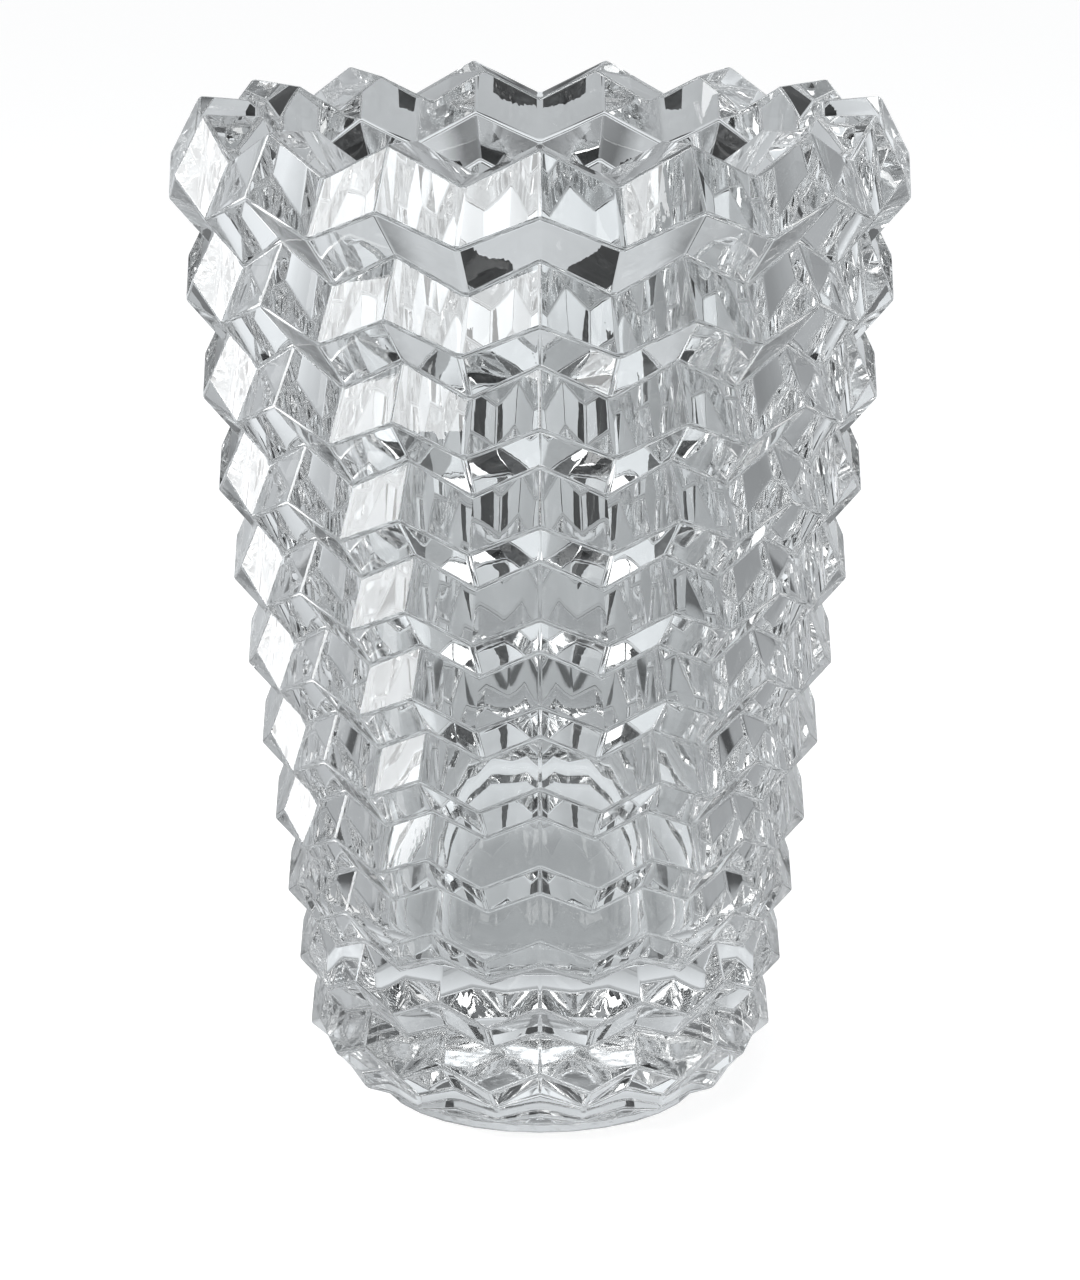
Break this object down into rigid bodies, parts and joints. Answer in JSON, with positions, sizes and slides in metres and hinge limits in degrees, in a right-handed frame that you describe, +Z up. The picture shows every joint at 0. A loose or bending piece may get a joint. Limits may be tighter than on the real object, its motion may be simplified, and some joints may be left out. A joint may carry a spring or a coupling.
{
  "type": "vase",
  "caption": "Tall tapered vase in heavy clear crystal, cut outside in zigzag tiers that make a herringbone of flat facets, with a sawtooth rim and a smooth round well.",
  "frame": {"origin": "middle of the flat foot, on the surface that the vase stands on", "axes": "+Z up along the axis of the vase, -Y through a tip of the rim"},
  "size_m": [0.181, 0.181, 0.25],
  "materials": {
    "clear_crystal": "polished"
  },
  "bodies": {
    "root": {"vase_body": "clear_crystal"}
  },
  "joints": []
}
